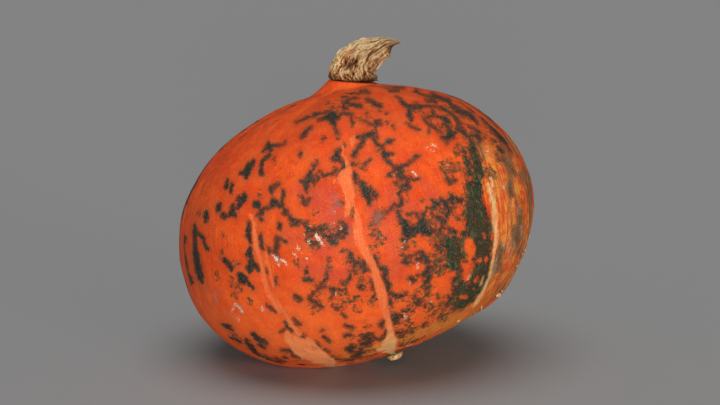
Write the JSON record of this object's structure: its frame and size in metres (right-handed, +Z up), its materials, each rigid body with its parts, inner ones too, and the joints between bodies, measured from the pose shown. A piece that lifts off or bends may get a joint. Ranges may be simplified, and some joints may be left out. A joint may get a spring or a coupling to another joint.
{
  "type": "pumpkin",
  "caption": "Round mottled orange and green winter squash with a bent corky stem, leaning over on the flat spot that it rests on.",
  "frame": {"origin": "middle of the flat spot that the fruit rests on", "axes": "+Z up from the surface it rests on, +X towards the side that the stem's tip points to, -Y towards the side with the blossom button"},
  "size_m": [0.2026, 0.2028, 0.1828],
  "materials": {
    "rind": "satin",
    "dry_stem": "matte"
  },
  "bodies": {
    "root": {"fruit": "rind", "stem": "dry_stem"}
  },
  "joints": []
}
